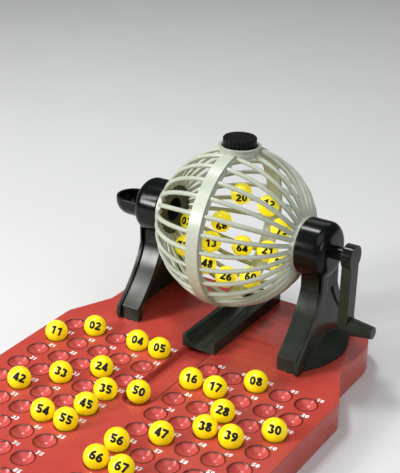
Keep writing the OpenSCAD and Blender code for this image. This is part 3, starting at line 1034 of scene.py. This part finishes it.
@dataclass
class NumberedBalls:
    """Yellow balls, each with its black number on the side that faces the photograph's viewer.

    Attributes:
        eye: Where the viewer stands, in metres.
        numerals: The black numerals.
        film: Height of the ink's foot and top over a ball's surface, in metres.
        lift: How far above the middle of the visible side a number sits, in degrees.
        roll: Mean roll of the digits, and one step of it, in degrees.
        roll_steps: Count of the different rolls, and the steps from one number's roll to the next one's.
        raised: Height over the board above which a ball is one of those in the cage, in metres.
        aims: For balls behind ribs, how far to the right and above the middle the number sits, in degrees.
    """

    eye: Array
    numerals: Numerals = Numerals(6.4 * MM, width=0.70, pen=0.255, gap=0.05, straight=10)
    film: Pair = (-0.05 * MM, 0.05 * MM)
    lift: float = 4.0
    roll: Pair = (5.0, 0.9)
    roll_steps: tuple[int, int] = (11, 37)
    raised: float = 15 * MM
    aims: dict[int, Pair] = field(default_factory=lambda: {
        3: (-30.0, 0.0), 12: (4.0, 15.0), 13: (0.0, -8.0), 20: (0.0, -22.0), 48: (12.0, 0.0),
        64: (0.0, -12.0), 68: (0.0, -24.0), 71: (-22.0, 4.0), 75: (4.0, -12.0),
    })

    def facing(self, centre: Array, number: int) -> Array:
        """Axes of a ball's print: along the digits, up the digits and out of the ball.

        The outward axis looks at the eye, raised a little, or aimed between two ribs. The digits run along the
        board's rows as far as that axis allows, and each ball is rolled a few degrees further, by a fixed amount
        that depends on its number.

        Args:
            centre: Middle of the ball.
            number: The ball's number.

        Returns:
            The three axes as rows.
        """
        out = self.eye - centre
        out /= np.linalg.norm(out)
        right, above = np.tan(np.radians(self.aims.get(number, (0.0, self.lift))))
        out = out + right * np.cross((0, 0, 1), out) + above * np.array([0, 0, 1])
        out /= np.linalg.norm(out)
        along = np.array([1.0, 0, 0]) - out[0] * out
        along /= np.linalg.norm(along)
        up = np.cross(out, along)
        count, stride = self.roll_steps
        roll = math.radians(self.roll[0] + (number * stride % count - count // 2) * self.roll[1])
        cos, sin = math.cos(roll), math.sin(roll)
        return np.stack([along * cos + up * sin, up * cos - along * sin, out])

    def print_number(self, node: str, ink: Material) -> None:
        """Prints one ball's number.

        Args:
            node: Name of the ball's node, which ends in its number.
            ink: Finish of the print.
        """
        low, high = (np.array(corner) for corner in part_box(node))
        centre, radius = (low + high) / 2, float((high - low).max() / 2)
        axes = self.facing(centre, int(node[-2:]))

        def on_ball(u: Array, v: Array, height: Array) -> Array:
            """Wraps the print round the ball: a distance from its middle, over the radius, becomes an angle."""
            turn = np.hypot(u, v) / radius
            side = np.sinc(turn / np.pi) / radius
            direction = np.stack([u * side, v * side, np.cos(turn)], axis=-1) @ axes
            return centre + direction * (radius + height)[..., None]

        mesh = InkMesh()
        mesh.write(node[-2:], self.numerals, self.film, on_ball)
        body = Body.DRAWN_BALL if node in frame["record"]["behaviour"]["bodies"]["drawn_ball"] else Body.BASE
        mesh.piece("number_" + node[-2:], ink, body)

    def build(self) -> None:
        """Dresses all balls, those in the cage in a brighter copy that paints light on them, and prints their
        numbers.
        """
        balls = sorted(name for name in frame["nodes"] if name.startswith("ball_"))
        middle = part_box("board")[1].z + self.raised
        tumbled = [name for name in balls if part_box(name)[0].z > middle]
        # painted light: the balls in the cage take the brighter copy
        dress(tumbled, LIT_CAGE_BALL_YELLOW.material())
        dress([name for name in balls if name not in tumbled], BALL_YELLOW.material())
        ink = BALL_INK.material()
        for node in balls:
            self.print_number(node, ink)


@dataclass(frozen=True)
class PhotoCamera:
    """Camera that stands where the photograph was taken from.

    Attributes:
        picture: Width and height of the picture, in pixels.
        focal: Focal length, in pixels.
        axis: Where the lens axis meets the picture, in pixels from its top left corner.
        eye: Place of the lens, in metres.
        azimuth: Turn of the view from +Y towards -X, in degrees.
        elevation: Angle at which the view looks down, in degrees.
        roll: Turn about the lens axis, in degrees.
        near: Distance from which things are drawn, in metres.
    """

    picture: tuple[int, int] = (400, 473)
    focal: float = 1160.1
    axis: Pair = (165.5, 236.6)
    eye: Triple = (0.4045, -0.5744, 0.4692)
    azimuth: float = 34.74
    elevation: float = 25.42
    roll: float = -0.69
    near: float = 0.01

    def build(self) -> None:
        """Makes the camera and puts it in the scene."""
        a, e, r = (math.radians(v) for v in (self.azimuth, self.elevation, self.roll))
        right = Vector((math.cos(a), math.sin(a), 0))
        up = Vector((-math.sin(a) * math.sin(e), math.cos(a) * math.sin(e), math.cos(e)))
        back = Vector((math.sin(a) * math.cos(e), -math.cos(a) * math.cos(e), math.sin(e)))
        right, up = right * math.cos(r) + up * math.sin(r), up * math.cos(r) - right * math.sin(r)
        lens = bpy.data.cameras.new("camera")
        width, height = self.picture
        lens.lens = self.focal / height * lens.sensor_width
        lens.shift_x = (width / 2 - self.axis[0]) / height
        lens.shift_y = (self.axis[1] - height / 2) / height
        lens.clip_start = self.near
        made = linked("camera", lens)
        made.matrix_world = Matrix.Translation(self.eye) @ Matrix((right, up, back)).transposed().to_4x4()
        bpy.context.scene.camera = made
        LOG.info("camera: %.1f mm lens", lens.lens)


@dataclass(frozen=True)
class SoftBox:
    """Rectangular studio light.

    Attributes:
        name: Name of the light.
        place: Where it stands, in metres.
        target: What it points at, in metres.
        size: Width and height, in metres.
        power: Power, in watts.
        colour: Colour of its light.
    """

    name: str
    place: Triple
    target: Triple
    size: Pair
    power: float
    colour: Colour = (1.0, 1.0, 1.0)

    def build(self) -> None:
        """Makes the light."""
        lamp = bpy.data.lights.new(self.name, "AREA")
        lamp.shape = "RECTANGLE"
        lamp.size, lamp.size_y = self.size
        lamp.energy = self.power
        lamp.color = self.colour
        made = linked(self.name, lamp)
        made.location = self.place
        made.rotation_euler = (Vector(self.target) - Vector(self.place)).to_track_quat("-Z", "Y").to_euler()
        LOG.info("light %s: %.0f W", self.name, self.power)


@dataclass
class Studio:
    """Pale floor, soft lights and an even surround.

    Attributes:
        floor_half: Half the floor's width, in metres.
        floor_lines: Lines of its grid along X and along Y.
        floor_drop: How far below the table's height it lies, in metres.
        paint: Finish of the floor.
        surround: Colour of the light from all round.
        surround_power: Strength of that light.
        lights: The studio lights.
    """

    floor_half: float = 4.0
    floor_lines: int = 9
    floor_drop: float = 0.1 * MM
    paint: FloorPaint = FloorPaint()
    surround: Colour = (0.93, 0.96, 1.0)
    surround_power: float = 0.10
    lights: Sequence[SoftBox] = (
        SoftBox("key", (-0.925, -1.21, 0.706), (-0.07, 0.08, 0.08), (0.40, 0.34), 19.0, (1.0, 0.98, 0.95)),
        SoftBox("top", (-0.45, 0.15, 1.30), (0.02, 0.08, 0.10), (0.16, 0.34), 8.0),
        SoftBox("overhead", (0.60, -0.50, 1.35), (0.08, -0.02, 0.03), (1.2, 1.1), 8.0),
        SoftBox("right_fill", (1.50, -0.45, 0.60), (0.05, 0.0, 0.03), (0.7, 0.6), 5.0, (0.97, 0.98, 1.0)),
        SoftBox("leg_strip", (-0.78, -0.62, 0.92), (-0.07, 0.06, 0.05), (0.12, 0.55), 5.5),
        SoftBox("back_rim", (-0.3, 1.3, 1.1), (0.0, 0.08, 0.10), (0.9, 0.6), 2.0),
    )

    def floor(self) -> None:
        """Makes the floor: a flat grid whose two parameters run along X and Y."""
        line = np.linspace(-1, 1, self.floor_lines) * self.floor_half
        u, v = np.meshgrid(line, line, indexing="ij")
        points = np.stack([u, v, np.full_like(u, -self.floor_drop)], axis=-1).reshape(-1, 3)
        index = np.arange(u.size).reshape(u.shape)
        quads = np.stack([index[:-1, :-1], index[1:, :-1], index[1:, 1:], index[:-1, 1:]], axis=-1).reshape(-1, 4)
        mesh = bpy.data.meshes.new("floor")
        mesh.from_pydata(points.tolist(), [], quads.tolist())
        mesh.materials.append(self.paint.material())
        linked("floor", mesh)

    def build(self) -> None:
        """Makes the floor, the lights and the surround, and sets how colours are shown."""
        self.floor()
        for light in self.lights:
            light.build()
        world = bpy.data.worlds.new("surround")
        world.use_nodes = True
        background = world.node_tree.nodes["Background"].inputs
        background["Color"].default_value = (*self.surround, 1.0)
        background["Strength"].default_value = self.surround_power
        scene = bpy.context.scene
        scene.world = world
        scene.view_settings.view_transform = "Standard"


def main() -> None:
    """Builds the camera, the studio and the sub-assemblies in order."""
    logging.basicConfig(level=logging.INFO, format="%(name)s: %(message)s")
    camera = PhotoCamera()
    camera.build()
    Studio().build()
    BallBoard().build()
    Stands().build()
    TumblingCage().build()
    Crank().build()
    NumberedBalls(np.array(camera.eye)).build()


if __name__ == "__main__":
    main()
